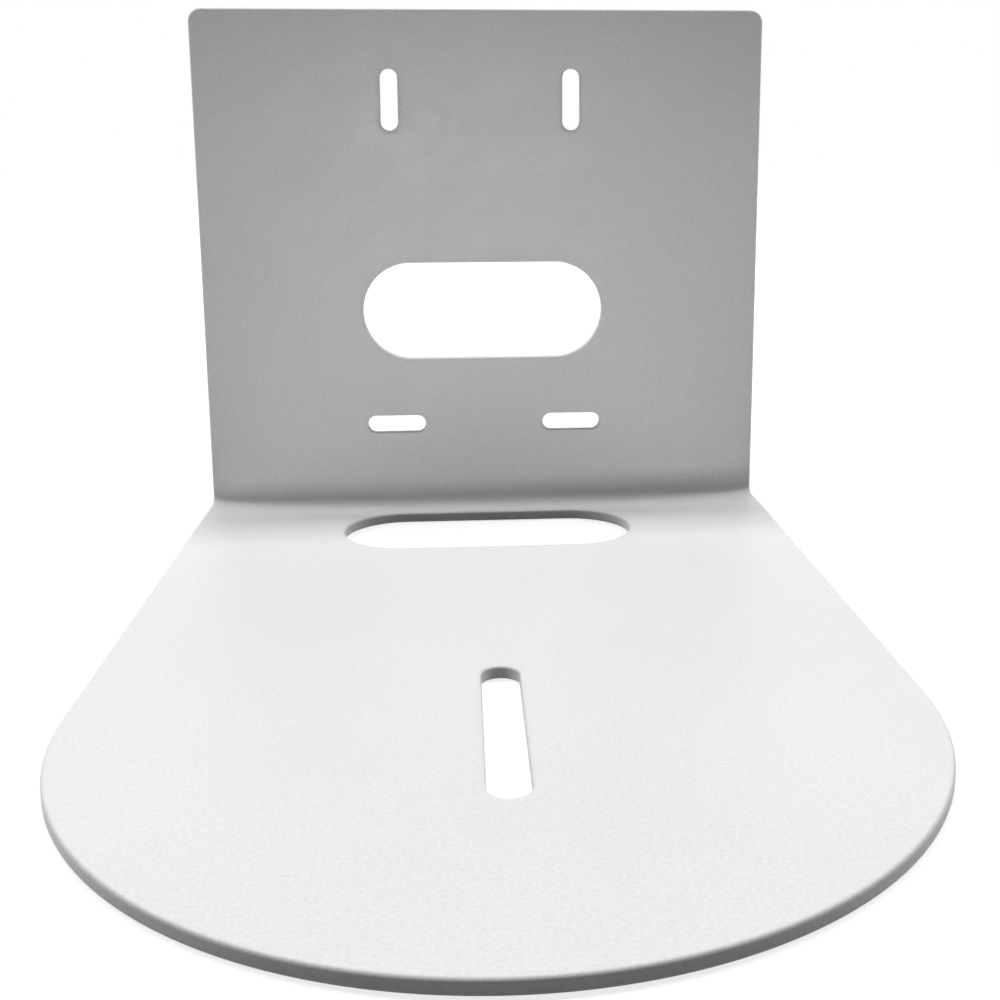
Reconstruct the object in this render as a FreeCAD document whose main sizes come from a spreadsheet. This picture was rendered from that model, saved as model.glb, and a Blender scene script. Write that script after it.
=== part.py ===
import FreeCAD, Part
import math
import os
import Sketcher

# Camera wall bracket, cut from one steel sheet and folded once.
#
# The upright leg is the wall plate. Its four small slots take the screws of a two-gang electrical box,
# and its oblong hole passes the cables. The lower leg is the shelf that carries the camera. Its front is
# a half circle as wide as the bracket. It has a cable hole near the fold, and further out a slot for the
# screw that holds the camera.
#
# Frame, in millimetres: the origin is the centre of the box screw pattern on the face that meets the wall.
# +X is to the right as one faces the bracket, +Y points into the wall and +Z is up.

NODE = "wall_bracket"
SHEET = "sizes"

SIZES = {
    "sheet_thickness": (2.5, "steel sheet with its coat"),
    "bend_inner_radius": (2.0, "inside radius of the fold"),
    "bracket_width": (143.5, "plate and shelf alike"),
    "overall_height": (128.0, "underside of the shelf to the top of the plate"),
    "overall_depth": (207.0, "wall face to the front of the shelf"),
    "plate_corner_radius": (3.2, "two top corners of the plate"),
    "outline_edge_radius": (0.65, "softened edge all round the outline"),
    "opening_edge_radius": (0.4, "softened rim of every opening"),
    "box_pitch_across": (46.04, "two-gang box screws, side to side"),
    "box_pitch_up": (83.34, "two-gang box screws, bottom to top"),
    "lower_slot_height": (22.6, "lower slots' centre above the underside"),
    "box_slot_length": (15.2, "over the round ends"),
    "box_slot_width": (4.4, "passes a 3.5 mm box screw"),
    "plate_hole_length": (62.0, "cable hole in the plate, side to side"),
    "plate_hole_width": (24.8, "cable hole in the plate, bottom to top"),
    "plate_hole_height": (52.5, "cable hole's centre above the underside"),
    "shelf_hole_length": (69.5, "cable hole in the shelf, side to side"),
    "shelf_hole_width": (29.0, "cable hole in the shelf, back to front"),
    "shelf_hole_depth": (31.9, "cable hole's centre from the wall face"),
    "camera_slot_length": (47.5, "camera screw slot, back to front"),
    "camera_slot_width": (6.8, "passes a quarter-inch camera screw"),
    "camera_slot_depth": (142.4, "camera screw slot's centre from the wall face"),
}

# Sizes that follow from the driving ones, as formulas of the sheet's cells.
UNDERSIDE = "-(sizes.lower_slot_height + sizes.box_pitch_up / 2)"
FOLD_OUTER_RADIUS = "(sizes.bend_inner_radius + sizes.sheet_thickness)"
FRONT_ARC_CENTRE = "-(sizes.overall_depth - sizes.bracket_width / 2)"

# References inside a sketch: which point of a piece of geometry, and the sketch's own axes.
START, END, CENTRE = 1, 2, 3
ORIGIN = (-1, START)
UP_AXIS = -2

SQUARE_EDGE_COSINE = 0.1
CUT_TOLERANCE = 0.001


def value(name):
    """Return one driving size in millimetres."""
    return SIZES[name][0]


def make_sheet(doc):
    """Write the driving sizes into a spreadsheet, one row each, with an alias."""
    sheet = doc.addObject("Spreadsheet::Sheet", SHEET)
    for row, (name, (size, note)) in enumerate(SIZES.items(), start=1):
        sheet.set(f"A{row}", name)
        sheet.set(f"B{row}", str(size))
        sheet.set(f"C{row}", note)
        sheet.setAlias(f"B{row}", name)
    doc.recompute()
    return sheet


def origin_item(body, role):
    """Return the body's own origin plane or axis that has this role."""
    return next(item for item in body.Origin.OriginFeatures if item.Role == role)


def make_sketch(body, name, role, height=None):
    """Add a sketch on one of the body's origin planes, lifted off it where a height formula is given."""
    sketch = body.newObject("Sketcher::SketchObject", name)
    sketch.AttachmentSupport = [(origin_item(body, role), "")]
    sketch.MapMode = "FlatFace"
    if height:
        sketch.setExpression("AttachmentOffset.Base.z", height)
    return sketch


def line(sketch, start, end):
    """Add a line between two points and return its number."""
    return sketch.addGeometry(Part.LineSegment(FreeCAD.Vector(*start), FreeCAD.Vector(*end)), False)


def arc(sketch, centre, radius, first_degrees, last_degrees):
    """Add an arc that runs anticlockwise between two angles and return its number."""
    circle = Part.Circle(FreeCAD.Vector(*centre), FreeCAD.Vector(0, 0, 1), radius)
    span = Part.ArcOfCircle(circle, math.radians(first_degrees), math.radians(last_degrees))
    return sketch.addGeometry(span, False)


def relate(sketch, kind, *references):
    """Add a constraint that has no size, such as Coincident, Tangent or Vertical."""
    sketch.addConstraint(Sketcher.Constraint(kind, *references))


def dimension(sketch, name, kind, references, size, formula):
    """Add a named constraint that has a size, and bind it to a formula of the sheet."""
    number = sketch.addConstraint(Sketcher.Constraint(kind, *references, size))
    sketch.renameConstraint(number, name)
    sketch.setExpression(f"Constraints.{name}", formula)


def draw_oblong(sketch, name, length, width, centre, centre_formulas, upright=False):
    """Draw a slot with round ends.

    length and width name cells of the sheet. centre is a pair of numbers to start from, and
    centre_formulas holds a formula for each. An upright oblong runs along the sketch's second axis.
    """
    radius = value(width) / 2
    half = value(length) / 2 - radius
    x, y = centre
    if upright:
        first = arc(sketch, (x, y - half, 0), radius, 180, 360)
        side = line(sketch, (x + radius, y - half, 0), (x + radius, y + half, 0))
        last = arc(sketch, (x, y + half, 0), radius, 0, 180)
        back = line(sketch, (x - radius, y + half, 0), (x - radius, y - half, 0))
    else:
        first = arc(sketch, (x - half, y, 0), radius, 90, 270)
        side = line(sketch, (x - half, y - radius, 0), (x + half, y - radius, 0))
        last = arc(sketch, (x + half, y, 0), radius, 270, 450)
        back = line(sketch, (x + half, y + radius, 0), (x - half, y + radius, 0))
    for one, other in ((first, side), (side, last), (last, back), (back, first)):
        relate(sketch, "Tangent", one, END, other, START)
    relate(sketch, "Equal", first, last)
    relate(sketch, "Vertical" if upright else "Horizontal", side)
    along = "DistanceY" if upright else "DistanceX"
    run = f"sizes.{length} - sizes.{width}"
    offsets = [str(formula) for formula in centre_formulas]
    offsets[1 if upright else 0] += f" - ({run}) / 2"
    corner = (x, y - half) if upright else (x - half, y)
    dimension(sketch, f"{name}_radius", "Radius", (first,), radius, f"sizes.{width} / 2")
    dimension(sketch, f"{name}_run", along, (first, CENTRE, last, CENTRE), 2 * half, run)
    for kind, axis, start, formula in zip(("DistanceX", "DistanceY"), "xy", corner, offsets):
        if formula == "0":
            relate(sketch, "PointOnObject", first, CENTRE, UP_AXIS)
        else:
            dimension(sketch, f"{name}_{axis}", kind, (*ORIGIN, first, CENTRE), start, formula)


def draw_fold(sketch):
    """Draw the plate and the fold from the side, with the wall face on the sketch's upright axis."""
    thickness = value("sheet_thickness")
    inner = value("bend_inner_radius")
    outer = inner + thickness
    bottom = -(value("lower_slot_height") + value("box_pitch_up") / 2)
    top = bottom + value("overall_height")
    centre = (-outer, bottom + outer, 0)
    wall_side = line(sketch, (0, top, 0), (0, bottom + outer, 0))
    outside = arc(sketch, centre, outer, 270, 360)
    joint = line(sketch, (-outer, bottom, 0), (-outer, bottom + thickness, 0))
    inside = arc(sketch, centre, inner, 270, 360)
    room_side = line(sketch, (-thickness, bottom + outer, 0), (-thickness, top, 0))
    crown = line(sketch, (-thickness, top, 0), (0, top, 0))
    relate(sketch, "Tangent", wall_side, END, outside, END)
    relate(sketch, "Coincident", outside, START, joint, START)
    relate(sketch, "Coincident", joint, END, inside, START)
    relate(sketch, "Tangent", inside, END, room_side, START)
    relate(sketch, "Coincident", room_side, END, crown, START)
    relate(sketch, "Coincident", crown, END, wall_side, START)
    relate(sketch, "Coincident", outside, CENTRE, inside, CENTRE)
    relate(sketch, "Vertical", wall_side)
    relate(sketch, "Vertical", room_side)
    relate(sketch, "Vertical", joint)
    relate(sketch, "Vertical", outside, CENTRE, joint, START)
    relate(sketch, "Horizontal", crown)
    relate(sketch, "PointOnObject", wall_side, START, UP_AXIS)
    dimension(sketch, "inner_radius", "Radius", (inside,), inner, "sizes.bend_inner_radius")
    dimension(sketch, "outer_radius", "Radius", (outside,), outer, FOLD_OUTER_RADIUS)
    dimension(sketch, "underside", "DistanceY", (*ORIGIN, joint, START), bottom, UNDERSIDE)
    dimension(sketch, "overall", "DistanceY", (joint, START, wall_side, START), top - bottom,
              "sizes.overall_height")


def draw_shelf(sketch):
    """Draw the shelf from above: straight sides from the fold, then a half circle."""
    half = value("bracket_width") / 2
    back = -(value("bend_inner_radius") + value("sheet_thickness"))
    front = -(value("overall_depth") - half)
    left = line(sketch, (-half, back, 0), (-half, front, 0))
    nose = arc(sketch, (0, front, 0), half, 180, 360)
    right = line(sketch, (half, front, 0), (half, back, 0))
    joint = line(sketch, (half, back, 0), (-half, back, 0))
    relate(sketch, "Tangent", left, END, nose, START)
    relate(sketch, "Tangent", nose, END, right, START)
    relate(sketch, "Coincident", right, END, joint, START)
    relate(sketch, "Coincident", joint, END, left, START)
    relate(sketch, "Vertical", left)
    relate(sketch, "Vertical", right)
    relate(sketch, "Horizontal", joint)
    relate(sketch, "PointOnObject", nose, CENTRE, UP_AXIS)
    dimension(sketch, "nose_radius", "Radius", (nose,), half, "sizes.bracket_width / 2")
    dimension(sketch, "nose_centre", "DistanceY", (*ORIGIN, nose, CENTRE), front, FRONT_ARC_CENTRE)
    dimension(sketch, "fold_line", "DistanceY", (*ORIGIN, joint, START), back, "-" + FOLD_OUTER_RADIUS)


def make_pad(body, sketch, name, length, both_ways=False):
    """Give a sketch its thickness, upwards or evenly both ways."""
    pad = body.newObject("PartDesign::Pad", name)
    pad.Profile = sketch
    pad.Midplane = both_ways
    pad.setExpression("Length", length)
    return pad


def oblong_volume(length, width):
    """Return what one oblong opening takes out of the sheet, in cubic millimetres."""
    radius = value(width) / 2
    area = (value(length) - value(width)) * value(width) + math.pi * radius**2
    return area * value("sheet_thickness")


def compare_cut(name, before, after, expected):
    """Stop if a cut took away anything but its own area times the sheet."""
    taken = before - after
    print(f"{name}: cut {taken:.1f} mm3 of {expected:.1f} mm3 expected")
    if abs(taken - expected) > CUT_TOLERANCE * expected:
        raise RuntimeError(f"{name} did not cut cleanly through the sheet")


def make_pocket(doc, body, sketch, name, expected):
    """Cut a sketch right through the sheet, both ways from its plane, and compare the volumes."""
    before = body.Shape.Volume
    pocket = body.newObject("PartDesign::Pocket", name)
    pocket.Profile = sketch
    pocket.Type = "ThroughAll"
    pocket.Midplane = True
    doc.recompute()
    compare_cut(name, before, body.Shape.Volume, expected)
    return pocket


def make_mirror(doc, body, pocket, name, expected):
    """Repeat a pocket on the other side of the bracket's middle plane, and compare the volumes."""
    before = body.Shape.Volume
    mirror = body.newObject("PartDesign::Mirrored", name)
    mirror.Originals = [pocket]
    mirror.MirrorPlane = (origin_item(body, "YZ_Plane"), [""])
    body.Tip = mirror
    doc.recompute()
    compare_cut(name, before, body.Shape.Volume, expected)


def square_edges(shape):
    """Name the edges where two faces meet at a right angle, which leaves out the smooth seams."""
    names = []
    for number, edge in enumerate(shape.Edges, start=1):
        faces = shape.ancestorsOfType(edge, Part.Face)
        if len(faces) != 2:
            continue
        middle = edge.valueAt((edge.FirstParameter + edge.LastParameter) / 2)
        normals = [face.normalAt(*face.Surface.parameter(middle)) for face in faces]
        if abs(normals[0].dot(normals[1])) < SQUARE_EDGE_COSINE:
            names.append(f"Edge{number}")
    return names


def corner_edges(shape):
    """Name the two short edges through the sheet at the top corners of the plate."""
    top = shape.BoundBox.ZMax
    names = []
    for number, edge in enumerate(shape.Edges, start=1):
        box = edge.BoundBox
        along_y = box.YLength > box.XLength + box.ZLength
        if along_y and box.ZMin > top - value("sheet_thickness"):
            names.append(f"Edge{number}")
    return names


def make_fillet(body, base, name, edges, radius):
    """Round the named edges of the feature before it."""
    fillet = body.newObject("PartDesign::Fillet", name)
    fillet.Base = (base, edges)
    fillet.setExpression("Radius", radius)
    return fillet


def add_legs(doc, body):
    """Fold the sheet: the plate with its bend, then the shelf that runs on from it."""
    fold_sketch = make_sketch(body, "fold_section", "YZ_Plane")
    draw_fold(fold_sketch)
    make_pad(body, fold_sketch, "plate_and_fold", "sizes.bracket_width", both_ways=True)
    shelf_sketch = make_sketch(body, "shelf_outline", "XY_Plane", UNDERSIDE)
    draw_shelf(shelf_sketch)
    shelf = make_pad(body, shelf_sketch, "shelf", "sizes.sheet_thickness")
    doc.recompute()
    return shelf


def soften_outline(doc, body, shelf):
    """Round the plate's top corners, then both edges all the way round the sheet."""
    top_edges = corner_edges(shelf.Shape)
    corners = make_fillet(body, shelf, "plate_corners", top_edges, "sizes.plate_corner_radius")
    doc.recompute()
    make_fillet(body, corners, "soft_outline", square_edges(corners.Shape), "sizes.outline_edge_radius")
    doc.recompute()


def cut_box_screw_slots(doc, body):
    """Cut the right-hand pair of box screw slots, upright above and level below, and mirror them."""
    sketch = make_sketch(body, "box_screw_slots", "XZ_Plane")
    across = value("box_pitch_across") / 2
    up = value("box_pitch_up") / 2
    draw_oblong(sketch, "upper", "box_slot_length", "box_slot_width", (across, up),
                ("sizes.box_pitch_across / 2", "sizes.box_pitch_up / 2"), upright=True)
    draw_oblong(sketch, "lower", "box_slot_length", "box_slot_width", (across, -up),
                ("sizes.box_pitch_across / 2", "-sizes.box_pitch_up / 2"))
    pair = 2 * oblong_volume("box_slot_length", "box_slot_width")
    right_pair = make_pocket(doc, body, sketch, "right_screw_slots", pair)
    make_mirror(doc, body, right_pair, "left_screw_slots", pair)


def cut_plate_hole(doc, body):
    """Cut the oblong cable hole in the plate."""
    height = value("plate_hole_height") - value("lower_slot_height") - value("box_pitch_up") / 2
    sketch = make_sketch(body, "plate_hole_outline", "XZ_Plane")
    draw_oblong(sketch, "hole", "plate_hole_length", "plate_hole_width", (0, height),
                ("0", f"{UNDERSIDE} + sizes.plate_hole_height"))
    make_pocket(doc, body, sketch, "plate_hole", oblong_volume("plate_hole_length", "plate_hole_width"))


def cut_shelf_openings(doc, body):
    """Cut the cable hole behind the camera and the slot for the camera's screw."""
    sketch = make_sketch(body, "shelf_opening_outlines", "XY_Plane", UNDERSIDE)
    draw_oblong(sketch, "cable", "shelf_hole_length", "shelf_hole_width",
                (0, -value("shelf_hole_depth")), ("0", "-sizes.shelf_hole_depth"))
    draw_oblong(sketch, "camera", "camera_slot_length", "camera_slot_width",
                (0, -value("camera_slot_depth")), ("0", "-sizes.camera_slot_depth"), upright=True)
    cable = oblong_volume("shelf_hole_length", "shelf_hole_width")
    camera = oblong_volume("camera_slot_length", "camera_slot_width")
    return make_pocket(doc, body, sketch, "shelf_openings", cable + camera)


def build_bracket(doc):
    """Build the folded sheet as one body: two legs, softened outline, openings and their rims."""
    body = doc.addObject("PartDesign::Body", NODE)
    body.Label = NODE
    shelf = add_legs(doc, body)
    soften_outline(doc, body, shelf)
    cut_box_screw_slots(doc, body)
    cut_plate_hole(doc, body)
    last_cut = cut_shelf_openings(doc, body)
    make_fillet(body, last_cut, "soft_rims", square_edges(last_cut.Shape), "sizes.opening_edge_radius")
    doc.recompute()
    return body


def check(doc, body):
    """Stop on any failed feature, loose sketch or unsound solid."""
    for item in doc.Objects:
        if "Invalid" in item.State or "Error" in item.State:
            raise RuntimeError(f"{item.Name} failed: {item.State}")
        if item.TypeId == "Sketcher::SketchObject" and not item.FullyConstrained:
            raise RuntimeError(f"{item.Name} is not fully constrained")
    shape = body.Shape
    if shape.isNull() or not shape.isValid() or len(shape.Solids) != 1:
        raise RuntimeError(f"{body.Label} is not one sound solid")
    print(f"{body.Label}: {shape.Volume:.1f} mm3, {len(shape.Faces)} faces")


def main():
    """Build the bracket and write its shape."""
    doc = FreeCAD.newDocument("camera_wall_bracket")
    make_sheet(doc)
    body = build_bracket(doc)
    check(doc, body)
    os.makedirs("parts", exist_ok=True)
    body.Shape.exportStep(f"parts/{body.Label}.step")


main()
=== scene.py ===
"""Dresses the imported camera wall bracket: one folded steel sheet in a satin white powder coat.

The sheet is drawn as a thin skin on its room side, folded, given its thickness towards the wall, and then all
its edges are rounded, as the coat rounds them. Lengths are in metres, in the part's own frame: the origin is
the centre of the box screw pattern on the wall face, +X is to the right, +Y points into the wall, +Z is up.
"""

import logging
import math
from dataclasses import dataclass, field
from enum import Enum

import bmesh
import bpy
from mathutils import Euler, Matrix, Vector


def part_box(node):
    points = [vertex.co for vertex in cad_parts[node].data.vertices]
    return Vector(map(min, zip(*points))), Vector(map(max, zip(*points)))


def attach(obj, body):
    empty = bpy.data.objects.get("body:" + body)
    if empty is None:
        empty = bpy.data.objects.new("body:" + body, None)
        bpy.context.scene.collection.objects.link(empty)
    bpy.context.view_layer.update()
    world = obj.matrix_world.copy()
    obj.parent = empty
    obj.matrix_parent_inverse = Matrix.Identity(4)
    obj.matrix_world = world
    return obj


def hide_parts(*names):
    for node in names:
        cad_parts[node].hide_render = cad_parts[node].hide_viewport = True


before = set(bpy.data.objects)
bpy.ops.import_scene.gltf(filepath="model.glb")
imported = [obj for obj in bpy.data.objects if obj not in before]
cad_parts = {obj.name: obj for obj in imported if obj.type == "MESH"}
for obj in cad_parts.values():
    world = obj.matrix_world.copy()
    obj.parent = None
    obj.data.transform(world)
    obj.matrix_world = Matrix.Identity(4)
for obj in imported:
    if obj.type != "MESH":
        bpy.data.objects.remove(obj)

NODE = "wall_bracket"
BODY = "root"

QUARTER_TURN = math.pi / 2
HALF_TURN = math.pi
NEAR = 1e-5
X_AXIS = Vector((1, 0, 0))
Y_AXIS = Vector((0, 1, 0))
Z_AXIS = Vector((0, 0, 1))

Place = tuple[float, float, float]
Colour = tuple[float, float, float, float]

log = logging.getLogger("bracket")
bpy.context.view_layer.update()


class Leg(Enum):
    """The two flat legs of the folded sheet."""

    PLATE = "upright wall plate"
    SHELF = "level camera shelf"


class Run(Enum):
    """Which way the length of an oblong opening runs on its leg."""

    SIDEWAYS = "along X"
    UPWARDS = "up the plate, or back to front on the shelf"


@dataclass(frozen=True)
class Oblong:
    """A punched opening with straight sides and round ends.

    Attributes:
        leg: The leg of the sheet that it is punched through.
        run: The way that its length runs.
        across: Its centre's place along X.
        along: Its centre's height on the plate, or its place along Y on the shelf.
        length: Its length over the round ends.
        width: Its width between the straight sides.
    """

    leg: Leg
    run: Run
    across: float
    along: float
    length: float
    width: float

    @property
    def radius(self) -> float:
        """Radius of the round ends."""
        return self.width / 2

    @property
    def reach(self) -> float:
        """Distance from the middle to the centre of a round end."""
        return self.length / 2 - self.radius

    @property
    def direction(self) -> Vector:
        """Unit step along the length, in the leg's own plane."""
        return X_AXIS if self.run is Run.SIDEWAYS else Y_AXIS

    def gap(self, across: float, along: float) -> float:
        """Measure how far a point of the leg's plane lies outside the rim.

        Args:
            across: The point's place along X.
            along: The point's height on the plate, or its place along Y on the shelf.

        Returns:
            The distance to the rim, below nought for a point in the opening.
        """
        offset = Vector((across - self.across, along - self.along, 0))
        slide = max(-self.reach, min(self.reach, offset.dot(self.direction)))
        return (offset - slide * self.direction).length - self.radius


class Pen:
    """Draws one closed loop of edges in the XY plane, each extruded or spun from the last point."""

    SAGITTA = 4e-6
    FEWEST_CHORDS = 8

    def __init__(self, mesh: bmesh.types.BMesh, start: tuple[float, float]) -> None:
        """Set the pen down.

        Args:
            mesh: The mesh to draw in.
            start: The loop's first point.
        """
        self.mesh = mesh
        self.first = self.tip = mesh.verts.new((*start, 0))
        self.points = [self.first]

    def run(self, step: Vector) -> None:
        """Draw a straight edge.

        Args:
            step: The way and distance to go.
        """
        drawn = bmesh.ops.extrude_vert_indiv(self.mesh, verts=[self.tip])
        self.tip = drawn["verts"][0]
        bmesh.ops.translate(self.mesh, verts=[self.tip], vec=step)
        self.points.append(self.tip)

    def turn(self, centre: Vector, angle: float) -> None:
        """Draw an arc, in steps so short that no chord leaves the true curve by more than SAGITTA.

        Args:
            centre: The arc's centre.
            angle: The turn in radians, anticlockwise.
        """
        before = set(self.mesh.verts)
        steps = arc_steps((self.tip.co - centre).length, angle)
        drawn = bmesh.ops.spin(self.mesh, geom=[self.tip], cent=centre, axis=Z_AXIS, angle=angle, steps=steps)
        self.points += [v for v in self.mesh.verts if v not in before]
        self.tip = drawn["geom_last"][0]

    def close(self) -> list[bmesh.types.BMEdge]:
        """Join the last point to the first.

        Returns:
            The loop's edges.
        """
        self.mesh.edges.new((self.tip, self.first))
        drawn = set(self.points)
        return [e for e in self.mesh.edges if drawn.issuperset(e.verts)]


def arc_steps(radius: float, angle: float) -> int:
    """Work out how many chords an arc needs.

    Args:
        radius: The arc's radius.
        angle: The arc's turn in radians.

    Returns:
        The number of chords, so that none leaves the curve by more than the pen's sagitta.
    """
    chord_angle = math.sqrt(8 * Pen.SAGITTA / radius)
    return max(Pen.FEWEST_CHORDS, math.ceil(abs(angle) / chord_angle))


@dataclass
class FoldedSheet:
    """The bracket: a steel sheet, blanked, punched and folded once, with its coat.

    Attributes:
        thickness: The sheet with its coat.
        bend_radius: Inside radius of the fold.
        corner_radius: The plate's two top corners.
        outline_round: Rounding of both edges along the outline.
        rim_round: Rounding of both edges of every opening.
        rings: How far the rings of even faces inside every edge lie from it, the widest first.
        roll_depth: How far the punch draws the sheet's room face in at the rim of an opening.
        roll_width: How far from the rim that roll begins.
        round_segments: Faces across each rounded edge.
        openings: What is punched out of the sheet.
        low: Lowest corner of the sheet's box.
        high: Highest corner of the sheet's box.
    """

    thickness: float = 0.0025
    bend_radius: float = 0.002
    corner_radius: float = 0.0032
    outline_round: float = 0.00065
    rim_round: float = 0.0004
    rings: tuple[float, ...] = (0.0014, 0.0011, 0.00085)
    roll_depth: float = 0.0002
    roll_width: float = 0.0014
    round_segments: int = 8
    openings: list[Oblong] = field(default_factory=list)
    low: Vector = field(default_factory=lambda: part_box(NODE)[0])
    high: Vector = field(default_factory=lambda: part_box(NODE)[1])

    @property
    def half_width(self) -> float:
        """Half of the sheet's width, which is also the radius of the shelf's front."""
        return (self.high.x - self.low.x) / 2

    @property
    def seat(self) -> float:
        """Height of the shelf's top face."""
        return self.low.z + self.thickness

    @property
    def room_face(self) -> float:
        """Where the plate's room side lies along Y."""
        return self.high.y - self.thickness

    @property
    def bend_centre(self) -> Vector:
        """A point on the line that the fold turns about."""
        return Vector((0, self.room_face - self.bend_radius, self.seat + self.bend_radius))

    def draw_plate(self, mesh: bmesh.types.BMesh) -> list[bmesh.types.BMEdge]:
        """Draw the plate's outline in the XY plane, from the fold line up and round its top corners.

        Args:
            mesh: The mesh to draw in.

        Returns:
            The outline's edges.
        """
        half, corner = self.half_width, self.corner_radius
        fold, top = self.bend_centre.z, self.high.z
        pen = Pen(mesh, (half, fold))
        pen.run(Vector((0, top - corner - fold, 0)))
        pen.turn(Vector((half - corner, top - corner, 0)), QUARTER_TURN)
        pen.run(Vector((-2 * (half - corner), 0, 0)))
        pen.turn(Vector((corner - half, top - corner, 0)), QUARTER_TURN)
        pen.run(Vector((0, fold - top + corner, 0)))
        return pen.close()

    def draw_shelf(self, mesh: bmesh.types.BMesh) -> list[bmesh.types.BMEdge]:
        """Draw the shelf's outline in the XY plane, from the fold line round its half-circle front.

        Args:
            mesh: The mesh to draw in.

        Returns:
            The outline's edges.
        """
        half = self.half_width
        fold, nose = self.bend_centre.y, self.low.y + half
        pen = Pen(mesh, (-half, fold))
        pen.run(Vector((0, nose - fold, 0)))
        pen.turn(Vector((0, nose, 0)), HALF_TURN)
        pen.run(Vector((0, fold - nose, 0)))
        return pen.close()

    def draw_opening(self, mesh: bmesh.types.BMesh, oblong: Oblong) -> list[bmesh.types.BMEdge]:
        """Draw the rim of one opening in the XY plane.

        Args:
            mesh: The mesh to draw in.
            oblong: The opening.

        Returns:
            The rim's edges.
        """
        middle = Vector((oblong.across, oblong.along, 0))
        reach = oblong.reach * oblong.direction
        side = oblong.radius * Z_AXIS.cross(oblong.direction)
        start = middle + reach - side
        pen = Pen(mesh, (start.x, start.y))
        pen.turn(middle + reach, HALF_TURN)
        pen.run(-2 * reach)
        pen.turn(middle - reach, HALF_TURN)
        return pen.close()

    def lay_leg(self, mesh: bmesh.types.BMesh, leg: Leg) -> None:
        """Fill one leg's outline round its openings, and put it where it belongs.

        Args:
            mesh: The mesh to draw in.
            leg: The leg to make.
        """
        before = set(mesh.verts)
        edges = self.draw_plate(mesh) if leg is Leg.PLATE else self.draw_shelf(mesh)
        for oblong in self.openings:
            if oblong.leg is leg:
                edges += self.draw_opening(mesh, oblong)
        bmesh.ops.triangle_fill(mesh, use_beauty=True, edges=edges, normal=Z_AXIS)
        verts = [v for v in mesh.verts if v not in before]
        if leg is Leg.PLATE:
            upright = Matrix.Rotation(QUARTER_TURN, 3, "X")
            bmesh.ops.rotate(mesh, verts=verts, cent=(0, 0, 0), matrix=upright)
            bmesh.ops.translate(mesh, verts=verts, vec=(0, self.room_face, 0))
        else:
            bmesh.ops.translate(mesh, verts=verts, vec=(0, 0, self.seat))

    def fold(self, mesh: bmesh.types.BMesh) -> None:
        """Spin the plate's lower edge a quarter turn to meet the shelf, and weld the seams.

        Args:
            mesh: The mesh that holds both legs.
        """
        line = self.bend_centre.z
        joint = [e for e in mesh.edges if all(abs(v.co.z - line) < NEAR for v in e.verts)]
        steps = arc_steps(self.bend_radius + self.thickness, QUARTER_TURN)
        bmesh.ops.spin(mesh, geom=joint + list({v for e in joint for v in e.verts}), cent=self.bend_centre,
                       axis=X_AXIS, angle=-QUARTER_TURN, steps=steps)
        bmesh.ops.remove_doubles(mesh, verts=mesh.verts[:], dist=NEAR)
        bmesh.ops.recalc_face_normals(mesh, faces=mesh.faces[:])
        flat = max(mesh.faces, key=lambda f: abs(f.normal.z) * f.calc_area())
        if flat.normal.z < 0:
            bmesh.ops.reverse_faces(mesh, faces=mesh.faces[:])

    def thicken(self, mesh: bmesh.types.BMesh) -> None:
        """Line every edge with rings of even faces, then grow the skin towards the wall and the underside.

        Args:
            mesh: The folded skin.
        """
        for distance in self.rings:
            bmesh.ops.inset_region(mesh, faces=mesh.faces[:], use_boundary=True, use_even_offset=True,
                                   thickness=distance, depth=0)
        bmesh.ops.solidify(mesh, geom=mesh.faces[:], thickness=self.thickness)
        bmesh.ops.recalc_face_normals(mesh, faces=mesh.faces[:])

    def roll_rims(self, mesh: bmesh.types.BMesh) -> None:
        """Draw the room face in round every opening, as the punch leaves it.

        Args:
            mesh: The solid sheet with square edges.
        """
        for oblong in self.openings:
            on_plate = oblong.leg is Leg.PLATE
            inwards = Y_AXIS if on_plate else -Z_AXIS
            face = inwards.dot(self.bend_centre) + self.bend_radius
            for vert in [v for v in mesh.verts if abs(inwards.dot(v.co) - face) < NEAR]:
                gap = oblong.gap(vert.co.x, vert.co.z if on_plate else vert.co.y)
                if gap < self.roll_width:
                    share = (1 - gap / self.roll_width) ** 2
                    vert.co += share * self.roll_depth * inwards

    def is_rim(self, edge: bmesh.types.BMEdge) -> bool:
        """Tell whether a sharp edge belongs to an opening and not to the outline.

        Args:
            edge: An edge where the sheet's face meets its cut side.

        Returns:
            True on the rim of an opening.
        """
        middle = (edge.verts[0].co + edge.verts[1].co) / 2
        on_plate = middle.z > self.bend_centre.z
        along = middle.z if on_plate else middle.y
        leg = Leg.PLATE if on_plate else Leg.SHELF
        return any(o.leg is leg and o.gap(middle.x, along) < self.rim_round for o in self.openings)

    def soften(self, mesh: bmesh.types.BMesh) -> None:
        """Round both edges along the outline and of every opening.

        Args:
            mesh: The solid sheet with square edges.
        """
        square = [e for e in mesh.edges if e.is_manifold and e.calc_face_angle() > QUARTER_TURN / 2]
        rims = [e for e in square if self.is_rim(e)]
        outline = list(set(square) - set(rims))
        for edges, radius in ((outline, self.outline_round), (rims, self.rim_round)):
            bmesh.ops.bevel(mesh, geom=edges, offset=radius, offset_type="OFFSET", affect="EDGES",
                            segments=self.round_segments, profile=0.5, material=-1, clamp_overlap=False,
                            loop_slide=True)

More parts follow.
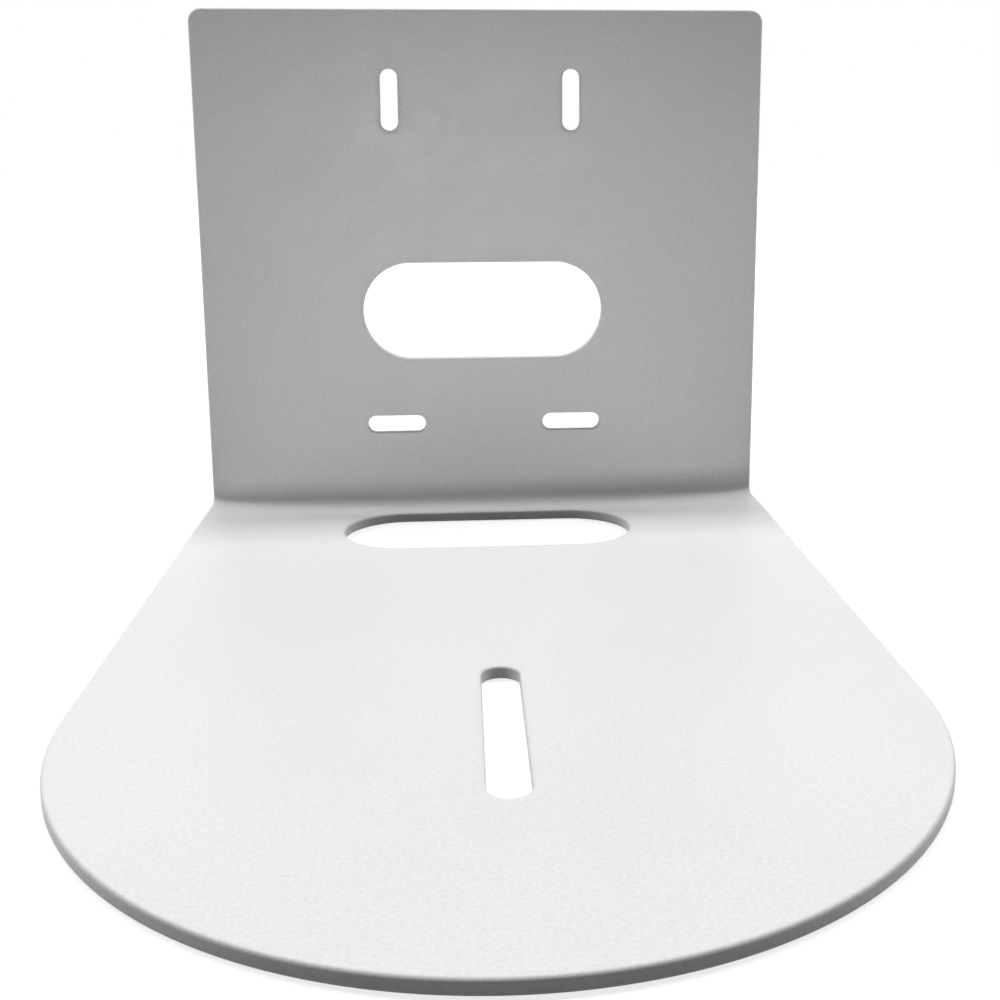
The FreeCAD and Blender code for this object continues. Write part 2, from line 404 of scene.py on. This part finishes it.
    def build(self) -> bpy.types.Object:
        """Make the whole sheet as one mesh.

        Returns:
            The object, with smooth shading that keeps its flat faces flat.
        """
        mesh = bmesh.new()
        for leg in Leg:
            self.lay_leg(mesh, leg)
        self.fold(mesh)
        self.thicken(mesh)
        self.roll_rims(mesh)
        self.soften(mesh)
        for face in mesh.faces:
            face.smooth = True
        data = bpy.data.meshes.new("folded_sheet")
        mesh.to_mesh(data)
        mesh.free()
        piece = bpy.data.objects.new("folded_sheet", data)
        bpy.context.scene.collection.objects.link(piece)
        piece.modifiers.new("flat_faces_stay_flat", "WEIGHTED_NORMAL")
        return piece


class Graph:
    """A shader node tree, whose nodes are added in the order of their links."""

    COLUMN_WIDTH = 220
    NOISE_LOW, NOISE_HIGH = 0.25, 0.75
    LAYER_SHARE = 0.5

    def __init__(self, owner: bpy.types.Material | bpy.types.World) -> None:
        """Empty an owner's node tree.

        Args:
            owner: The material or world whose tree is written.
        """
        owner.use_nodes = True
        self.tree = owner.node_tree
        self.tree.nodes.clear()
        self.columns = 0

    def add(self, kind: str, label: str, **inputs: object) -> bpy.types.Node:
        """Add a node.

        Args:
            kind: Blender's name for the kind of node.
            label: What the node is for.
            inputs: A value, or another node's output socket, by the input's name with _ for a space.

        Returns:
            The node.
        """
        node = self.tree.nodes.new(kind)
        node.label = label
        node.location = (self.COLUMN_WIDTH * self.columns, 0)
        self.columns += 1
        for name, value in inputs.items():
            self.give(node, name.replace("_", " "), value)
        return node

    def give(self, node: bpy.types.Node, name: str | int, value: object) -> None:
        """Set or link one input.

        Args:
            node: The node.
            name: The input's name, or its place in the list.
            value: The value, or the output socket that it comes from.
        """
        if isinstance(value, bpy.types.NodeSocket):
            self.tree.links.new(value, node.inputs[name])
        else:
            node.inputs[name].default_value = value

    def maths(self, operation: str, label: str, *values: object) -> bpy.types.NodeSocket:
        """Add one step of arithmetic.

        Args:
            operation: The sum to do, by Blender's name.
            label: What it is for.
            values: Its numbers or sockets in order.

        Returns:
            The result's socket.
        """
        node = self.add("ShaderNodeMath", label)
        node.operation = operation
        for place, value in enumerate(values):
            self.give(node, place, value)
        return node.outputs["Value"]

    def span(self, label: str, value: bpy.types.NodeSocket, low: float, high: float) -> bpy.types.NodeSocket:
        """Spread a noise value, which runs from 0 to 1 about a half, over a range.

        Args:
            label: What it is for.
            value: The noise's socket.
            low: The result for NOISE_LOW.
            high: The result for NOISE_HIGH.

        Returns:
            The result's socket.
        """
        node = self.add("ShaderNodeMapRange", label, Value=value, From_Min=self.NOISE_LOW,
                        From_Max=self.NOISE_HIGH, To_Min=low, To_Max=high)
        return node.outputs["Result"]

    def noise(self, label: str, where: bpy.types.NodeSocket, grain: float,
              detail: float = 1.0) -> bpy.types.NodeSocket:
        """Add a noise in the piece's own coordinates.

        Args:
            label: What it is for.
            where: The coordinates' socket.
            grain: The size of its largest features.
            detail: How many finer layers it has, each LAYER_SHARE as strong as the one before.

        Returns:
            The socket of its value, from 0 to 1.
        """
        node = self.add("ShaderNodeTexNoise", label, Vector=where, Scale=1 / grain, Detail=detail,
                        Roughness=self.LAYER_SHARE)
        return node.outputs["Fac"]


@dataclass(frozen=True)
class PowderCoat:
    """The baked powder on the steel: white, satin, with a fine grain and a faint orange peel.

    Attributes:
        colour: Its colour, linear.
        ior: Refractive index of its resin.
        patch: Size of the faint patches of its colour.
        patch_depth: How far the patches differ from the colour, as a share.
        speckle: Size of the powder's fine speckle.
        speckle_depth: How far the speckle differs from the colour, as a share.
        gloss_patch: Size of the patches of its gloss.
        rough_low: Roughness where it lies smoothest.
        rough_high: Roughness where it lies coarsest.
        peel: Wavelength of the orange peel.
        peel_height: Height of the orange peel.
        grain: Wavelength of the powder's fine grain.
        grain_height: Height of the fine grain.
    """

    colour: Colour = (0.86, 0.86, 0.858, 1)
    ior: float = 1.5
    patch: float = 0.04
    patch_depth: float = 0.012
    speckle: float = 0.0006
    speckle_depth: float = 0.055
    gloss_patch: float = 0.006
    rough_low: float = 0.38
    rough_high: float = 0.46
    peel: float = 0.0013
    peel_height: float = 16e-6
    grain: float = 0.0004
    grain_height: float = 6e-6

    def material(self) -> bpy.types.Material:
        """Write the coat as a material.

        Returns:
            The material.
        """
        coat = bpy.data.materials.new("powder_coat_white")
        graph = Graph(coat)
        where = graph.add("ShaderNodeTexCoord", "the piece's own coordinates").outputs["Object"]
        patches = graph.noise("faint patches", where, self.patch, detail=3)
        patch_depth = graph.span("their depth", patches, 1 - self.patch_depth, 1 + self.patch_depth)
        speckle = graph.noise("fine speckle", where, self.speckle)
        speckle_depth = graph.span("its depth", speckle, 1 - self.speckle_depth, 1 + self.speckle_depth)
        depth = graph.maths("MULTIPLY", "both together", patch_depth, speckle_depth)
        colour = graph.add("ShaderNodeVectorMath", "white with patches and speckle")
        colour.operation = "SCALE"
        graph.give(colour, 0, self.colour[:3])
        graph.give(colour, "Scale", depth)
        gloss = graph.noise("gloss patches", where, self.gloss_patch, detail=2)
        roughness = graph.span("satin", gloss, self.rough_low, self.rough_high)
        peel = graph.noise("orange peel", where, self.peel)
        grain = graph.noise("powder grain", where, self.grain)
        waves = graph.add("ShaderNodeBump", "orange peel", Strength=1.0, Distance=self.peel_height,
                          Height=peel)
        bumps = graph.add("ShaderNodeBump", "powder grain", Strength=1.0, Distance=self.grain_height,
                          Height=grain, Normal=waves.outputs["Normal"])
        shader = graph.add("ShaderNodeBsdfPrincipled", "powder coat", Base_Color=colour.outputs["Vector"],
                           Roughness=roughness, IOR=self.ior, Normal=bumps.outputs["Normal"])
        graph.add("ShaderNodeOutputMaterial", "coat", Surface=shader.outputs["BSDF"])
        return coat


def add_lamp(light: bpy.types.Light, place: Place, beam: Vector) -> bpy.types.Object:
    """Put a lamp in the scene, out of the camera's sight.

    Args:
        light: Its light.
        place: Its centre.
        beam: The direction that it faces.

    Returns:
        The lamp.
    """
    lamp = bpy.data.objects.new(light.name, light)
    lamp.location = place
    lamp.rotation_euler = beam.to_track_quat("-Z", "Y").to_euler()
    lamp.visible_camera = False
    bpy.context.scene.collection.objects.link(lamp)
    return lamp


@dataclass(frozen=True)
class Lamp:
    """A flat soft lamp of even brightness.

    Attributes:
        name: What it is called.
        place: Its centre.
        aim: The point that it faces.
        width: Its size across.
        depth: Its size the other way.
        radiance: Its brightness, where 1 is plain white.
        mirrored: Whether the satin coat mirrors it, which would clip to white in a view across the shelf.
    """

    name: str
    place: Place
    aim: Place
    width: float
    depth: float
    radiance: float
    mirrored: bool = True

    def hang(self) -> None:
        """Put the lamp in the scene."""
        light = bpy.data.lights.new(self.name, "AREA")
        light.shape = "RECTANGLE"
        light.size, light.size_y = self.width, self.depth
        light.energy = math.pi * self.width * self.depth * self.radiance
        lamp = add_lamp(light, self.place, Vector(self.aim) - Vector(self.place))
        lamp.visible_glossy = self.mirrored


@dataclass(frozen=True)
class Spot:
    """A spot lamp, whose beam can be cut off along a line as by a barn door.

    Attributes:
        name: What it is called.
        place: Its centre.
        aim: The point that it faces or, where the beam is cut, the point that its lower edge meets.
        cut: Whether the beam is turned up by half its angle, so that its lower edge meets that point.
        cone: The beam's full angle.
        softness: The share of the beam over which its edge fades.
        size: Radius of the lamp.
        power: Its power in watts.
        stretch: How many times wider than high its beam is.
    """

    name: str
    place: Place
    aim: Place
    cut: bool
    cone: float
    softness: float
    size: float
    power: float
    stretch: float = 1.0

    def hang(self) -> None:
        """Put the lamp in the scene."""
        light = bpy.data.lights.new(self.name, "SPOT")
        light.energy = self.power
        light.spot_size = self.cone
        light.spot_blend = self.softness
        light.shadow_soft_size = self.size
        beam = Vector(self.aim) - Vector(self.place)
        if self.cut:
            beam = Matrix.Rotation(self.cone / 2, 3, "X") @ beam
        lamp = add_lamp(light, self.place, beam)
        lamp.scale = (self.stretch, 1, 1)


@dataclass(frozen=True)
class Studio:
    """The white surroundings and the lamps.

    Attributes:
        lamps: The lamps.
        floor_height: The height of the part's underside.
        floor_gap: How far the floor lies under it, so that no two faces share a plane.
        floor_reach: How far the floor goes each way.
        floor_grey: The floor's own colour for scattered light.
        floor_glow: What the floor shows of its own by the part, where 1 is white.
        floor_answer: How much the lamps and shadows show on the floor.
        glow_from: Distance from the part at which the floor turns to plain white.
        glow_to: Distance at which it has.
        surround: The surroundings' light on the part.
    """

    lamps: tuple[Lamp | Spot, ...]
    floor_height: float
    floor_gap: float = 0.0002
    floor_reach: float = 6.0
    floor_grey: float = 0.2
    floor_glow: float = 0.78
    floor_answer: float = 0.35
    glow_from: float = 0.15
    glow_to: float = 0.6
    surround: Colour = (0.012, 0.011, 0.022, 1)

    def seen(self, graph: Graph) -> bpy.types.NodeSocket:
        """Tell the rays that show the surroundings from those that only carry light.

        Args:
            graph: The tree to add to.

        Returns:
            A socket of 1 for camera, glossy and transmission rays, and 0 for others.
        """
        path = graph.add("ShaderNodeLightPath", "kind of ray").outputs
        shown = graph.maths("MAXIMUM", "seen or mirrored", path["Is Camera Ray"], path["Is Glossy Ray"])
        return graph.maths("MAXIMUM", "or seen through", shown, path["Is Transmission Ray"])

    def lay_floor(self) -> None:
        """Lay the plain white floor, which keeps the part's shadow and fades to white around it."""
        mesh = bmesh.new()
        bmesh.ops.create_grid(mesh, x_segments=1, y_segments=1, size=self.floor_reach)
        bmesh.ops.translate(mesh, verts=mesh.verts[:], vec=(0, 0, self.floor_height - self.floor_gap))
        data = bpy.data.meshes.new("floor")
        mesh.to_mesh(data)
        mesh.free()
        floor = bpy.data.objects.new("floor", data)
        bpy.context.scene.collection.objects.link(floor)
        finish = bpy.data.materials.new("floor_white")
        data.materials.append(finish)
        graph = Graph(finish)
        where = graph.add("ShaderNodeTexCoord", "the floor's own coordinates").outputs["Object"]
        away = graph.add("ShaderNodeVectorMath", "distance from the part")
        away.operation = "LENGTH"
        graph.give(away, 0, where)
        glow = graph.add("ShaderNodeMapRange", "fade to white", Value=away.outputs["Value"],
                         From_Min=self.glow_from, From_Max=self.glow_to, To_Min=self.floor_glow, To_Max=1.0)
        glow.interpolation_type = "SMOOTHSTEP"
        own = graph.add("ShaderNodeEmission", "white of its own", Strength=glow.outputs["Result"])
        answer = (self.floor_answer, self.floor_answer, self.floor_answer, 1)
        lit = graph.add("ShaderNodeBsdfDiffuse", "lamps and shadows", Color=answer)
        shown = graph.add("ShaderNodeAddShader", "as it is seen")
        graph.give(shown, 0, own.outputs["Emission"])
        graph.give(shown, 1, lit.outputs["BSDF"])
        grey = (self.floor_grey, self.floor_grey, self.floor_grey, 1)
        plain = graph.add("ShaderNodeBsdfDiffuse", "as it scatters light", Color=grey)
        mix = graph.add("ShaderNodeMixShader", "by kind of ray", Fac=self.seen(graph))
        graph.give(mix, 1, plain.outputs["BSDF"])
        graph.give(mix, 2, shown.outputs["Shader"])
        graph.add("ShaderNodeOutputMaterial", "floor", Surface=mix.outputs["Shader"])

    def surround_part(self) -> None:
        """Set the world: white where it is seen or mirrored, and a dim even light on the part."""
        world = bpy.data.worlds.new("white_surroundings")
        bpy.context.scene.world = world
        graph = Graph(world)
        dim = graph.add("ShaderNodeBackground", "light on the part", Color=self.surround, Strength=1.0)
        white = graph.add("ShaderNodeBackground", "white", Color=(1, 1, 1, 1), Strength=1.0)
        mix = graph.add("ShaderNodeMixShader", "by kind of ray", Fac=self.seen(graph))
        graph.give(mix, 1, dim.outputs["Background"])
        graph.give(mix, 2, white.outputs["Background"])
        graph.add("ShaderNodeOutputWorld", "surroundings", Surface=mix.outputs["Shader"])

    def build(self) -> None:
        """Put the lamps, the floor and the surroundings in the scene."""
        for lamp in self.lamps:
            lamp.hang()
        self.lay_floor()
        self.surround_part()
        view = bpy.context.scene.view_settings
        view.view_transform = "Standard"


@dataclass(frozen=True)
class PhotoCamera:
    """The camera that took the picture.

    Attributes:
        place: Where it stood.
        turn: Its turn about X, Y and Z, in degrees.
        lens: Its focal length in millimetres.
        sensor: The width of its sensor in millimetres.
        shift: How far its picture is off the lens's axis, in widths of the picture.
        clip: The nearest and the furthest distance that it sees.
    """

    place: Place = (-0.00615, -0.33378, 0.02789)
    turn: tuple[float, float, float] = (78.9918, 0.2046, -3.8873)
    lens: float = 45.94
    sensor: float = 36.0
    shift: tuple[float, float] = (-0.04518, -0.0969)
    clip: tuple[float, float] = (0.005, 50.0)

    def build(self) -> None:
        """Put the camera in the scene."""
        view = bpy.data.cameras.new("photo_view")
        view.sensor_width = self.sensor
        view.lens = self.lens
        view.shift_x, view.shift_y = self.shift
        view.clip_start, view.clip_end = self.clip
        camera = bpy.data.objects.new("photo_view", view)
        camera.location = self.place
        camera.rotation_euler = Euler([math.radians(angle) for angle in self.turn])
        bpy.context.scene.collection.objects.link(camera)
        bpy.context.scene.camera = camera


# Screw pattern of a two-gang electrical box, and the slots that fit its screws.
BOX_ACROSS = 0.04604
BOX_UP = 0.08334
BOX_SLOT = {"length": 0.0152, "width": 0.0044}

UPPER_SLOTS = [
    Oblong(leg=Leg.PLATE, run=Run.UPWARDS, across=side * BOX_ACROSS / 2, along=BOX_UP / 2, **BOX_SLOT)
    for side in (-1, 1)
]
LOWER_SLOTS = [
    Oblong(leg=Leg.PLATE, run=Run.SIDEWAYS, across=side * BOX_ACROSS / 2, along=-BOX_UP / 2, **BOX_SLOT)
    for side in (-1, 1)
]
PLATE_HOLE = Oblong(leg=Leg.PLATE, run=Run.SIDEWAYS, across=0, along=-0.01177, length=0.062, width=0.0248)
SHELF_HOLE = Oblong(leg=Leg.SHELF, run=Run.SIDEWAYS, across=0, along=-0.0319, length=0.0695, width=0.029)
CAMERA_SLOT = Oblong(leg=Leg.SHELF, run=Run.UPWARDS, across=0, along=-0.1424, length=0.0475, width=0.0068)
PUNCHED = [*UPPER_SLOTS, *LOWER_SLOTS, PLATE_HOLE, SHELF_HOLE, CAMERA_SLOT]

LAMPS = (
    # Hangs behind the plate's plane, so that the plate keeps it off the fold.
    Lamp("overhead_panel", place=(0, 0.685, 3.0), aim=(0, 0.685, 0), width=7.2, depth=0.55, radiance=8.3),
    # Raised on both sides, for the side edges and the two ends of the fold.
    Lamp("left_panel", place=(-0.8, 0.07, 0.7), aim=(0, 0, 0), width=0.3, depth=0.3, radiance=12.5,
         mirrored=False),
    Lamp("right_panel", place=(0.8, 0.07, 0.7), aim=(0, 0, 0), width=0.3, depth=0.3, radiance=10.0,
         mirrored=False),
    # Cut off at the fold, which stays dark between the plate and the shelf.
    Spot("front_spot", place=(-0.03, -1.6, 0.02), aim=(-0.03, 0, -0.0626), cut=True, cone=QUARTER_TURN,
         softness=0.008, size=0.003, power=13.5),
    # Wide and soft, for the brighter middle of the plate.
    Spot("plate_spot", place=(0, -1.6, 0.002), aim=(0, 0, 0.002), cut=False, cone=0.09, softness=1.0,
         size=0.003, power=4.6, stretch=3.0),
    # Round and soft, for the front of the shelf.
    Spot("shelf_spot", place=(0, 0.25, 3.0), aim=(0, -0.21, -0.06), cut=False, cone=0.094, softness=1.0,
         size=0.02, power=27.0),
)


def main() -> None:
    """Build the dressed part, its surroundings and the camera, and report each piece."""
    logging.basicConfig(level=logging.INFO, format="%(message)s")
    sheet = FoldedSheet(openings=PUNCHED)
    piece = sheet.build()
    piece.data.materials.append(PowderCoat().material())
    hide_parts(NODE)
    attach(piece, BODY)
    log.info("%s: %d faces, coated", piece.name, len(piece.data.polygons))
    Studio(lamps=LAMPS, floor_height=sheet.low.z).build()
    log.info("studio: %d lamps, floor and surroundings", len(LAMPS))
    PhotoCamera().build()
    log.info("camera in place")


if __name__ == "__main__":
    main()
